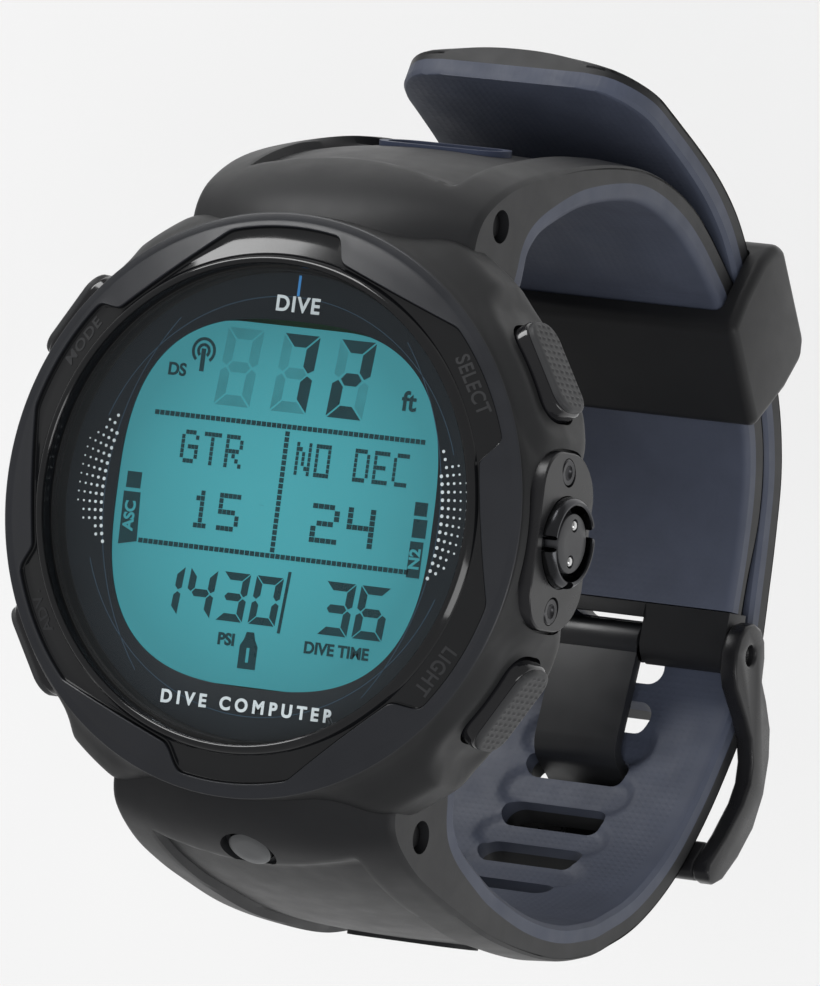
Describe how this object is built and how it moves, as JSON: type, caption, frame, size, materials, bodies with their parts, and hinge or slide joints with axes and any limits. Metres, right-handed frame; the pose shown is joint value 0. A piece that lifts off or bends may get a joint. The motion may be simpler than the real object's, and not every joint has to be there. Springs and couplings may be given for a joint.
{
  "type": "dive computer",
  "caption": "Wrist-worn dive computer: round case with bezel, crystal and LCD, side push buttons, data port, battery hatch and a buckled two-layer strap with keeper",
  "frame": {"origin": "Centre of the flat back of the case, which rests on the wrist.", "axes": "+Z is the dial's outward normal, +Y points to 12 o'clock and +X to 3 o'clock. The closed strap loop hangs on the -Z side."},
  "size_m": [0.057, 0.0845, 0.0799],
  "materials": {
    "case_black": "fine matte moulded",
    "bezel_satin": "satin black coating",
    "bezel_gloss": "gloss black",
    "crystal": "polished mineral glass",
    "seal_rubber": "moulded",
    "dial_mask": "printed dark blue-grey",
    "lcd": "backlit liquid-crystal cell",
    "light_guide": "diffusing",
    "board": "solder mask",
    "chip_black": "moulded epoxy",
    "frame_grey": "glass-filled moulding",
    "battery_steel": "pressed and polished",
    "contact_brass": "sheet",
    "pin_steel": "turned",
    "spring_steel": "drawn wire",
    "port_metal": "turned and polished",
    "port_insulator": "moulded",
    "screw_black": "blackened",
    "contact_silver": "bead blasted",
    "hatch_black": "fine matte moulded",
    "strap_black": "silk-matte moulded elastomer",
    "strap_blue": "silk-matte moulded elastomer",
    "inlay_blue": "moulded",
    "keeper_black": "satin moulded",
    "buckle_black": "satin black coating",
    "tongue_grey": "satin dark grey coating",
    "button_gloss": "gloss black",
    "button_rubber": "knurled"
  },
  "bodies": {
    "case": {"case_body": "case_black", "bezel_ring": "bezel_satin", "bezel_insert": "bezel_gloss", "crystal": "crystal", "crystal_gasket": "seal_rubber", "dial_mask": "dial_mask", "lcd_panel": "lcd", "light_guide": "light_guide", "lcd_connectors": "seal_rubber", "circuit_board": "board", "board_chips": "chip_black", "inner_frame": "frame_grey", "battery": "battery_steel", "battery_contact": "contact_brass", "buzzer": "contact_brass", "pressure_sensor": "pin_steel", "tact_switches": "chip_black", "button_seals": "seal_rubber", "port_panel": "case_black", "port_ring": "port_metal", "port_disc": "port_insulator", "port_pins": "pin_steel", "port_screws": "screw_black", "water_contact": "contact_silver", "sensor_grille": "case_black", "battery_hatch": "hatch_black", "hatch_seal": "seal_rubber", "strap_short_outer": "strap_black", "strap_long_outer": "strap_black", "strap_short_liner": "strap_blue", "strap_long_liner": "strap_blue", "strap_inlay_short": "inlay_blue", "strap_inlay_long": "inlay_blue", "lug_pin_short": "pin_steel", "lug_pin_long": "pin_steel", "buckle_pin": "pin_steel", "select_spring": "spring_steel", "light_spring": "spring_steel", "mode_spring": "spring_steel", "advance_spring": "spring_steel"},
    "select_button": {"select_cap": "button_gloss", "select_pad": "button_rubber", "select_stem": "pin_steel"},
    "light_button": {"light_cap": "button_gloss", "light_pad": "button_rubber", "light_stem": "pin_steel"},
    "mode_button": {"mode_cap": "button_gloss", "mode_pad": "button_rubber", "mode_stem": "pin_steel"},
    "advance_button": {"advance_cap": "button_gloss", "advance_pad": "button_rubber", "advance_stem": "pin_steel"},
    "keeper_loop": {"keeper": "keeper_black"},
    "buckle": {"buckle_frame": "buckle_black"},
    "tongue": {"buckle_tongue": "tongue_grey"},
    "hatch_lock": {"hatch_ring": "hatch_black"}
  },
  "joints": [
    {"name": "select_press", "type": "slide", "parent": "case", "child": "select_button", "axis": [-0.8462, -0.5329, 0], "range_m": [0, 0.0008], "stiffness_N_per_m": 1500, "springref_m": -0.0005, "deforming": ["select_spring"]},
    {"name": "light_press", "type": "slide", "parent": "case", "child": "light_button", "axis": [-0.8462, 0.5329, 0], "range_m": [0, 0.0008], "stiffness_N_per_m": 1500, "springref_m": -0.0005, "deforming": ["light_spring"]},
    {"name": "mode_press", "type": "slide", "parent": "case", "child": "mode_button", "axis": [0.8462, -0.5329, 0], "range_m": [0, 0.0008], "stiffness_N_per_m": 1500, "springref_m": -0.0005, "deforming": ["mode_spring"]},
    {"name": "advance_press", "type": "slide", "parent": "case", "child": "advance_button", "axis": [0.8462, 0.5329, 0], "range_m": [0, 0.0008], "stiffness_N_per_m": 1500, "springref_m": -0.0005, "deforming": ["advance_spring"]},
    {"name": "keeper_slide", "type": "slide", "parent": "case", "child": "keeper_loop", "axis": [0, 0.7771, 0.6293], "range_m": [-0.0008, 0.0008]},
    {"name": "buckle_frame_hinge", "type": "hinge", "parent": "case", "child": "buckle", "pos_m": [0, -0.007, -0.0556], "axis": [1, 0, 0], "range_deg": [-2.5, 0]},
    {"name": "buckle_tongue_hinge", "type": "hinge", "parent": "case", "child": "tongue", "pos_m": [0, -0.007, -0.0556], "axis": [1, 0, 0], "range_deg": [0, 2.5]},
    {"name": "hatch_lock_turn", "type": "hinge", "parent": "case", "child": "hatch_lock", "pos_m": [0, 0, 0.001], "axis": [0, 0, -1], "range_deg": [0, 12]}
  ]
}
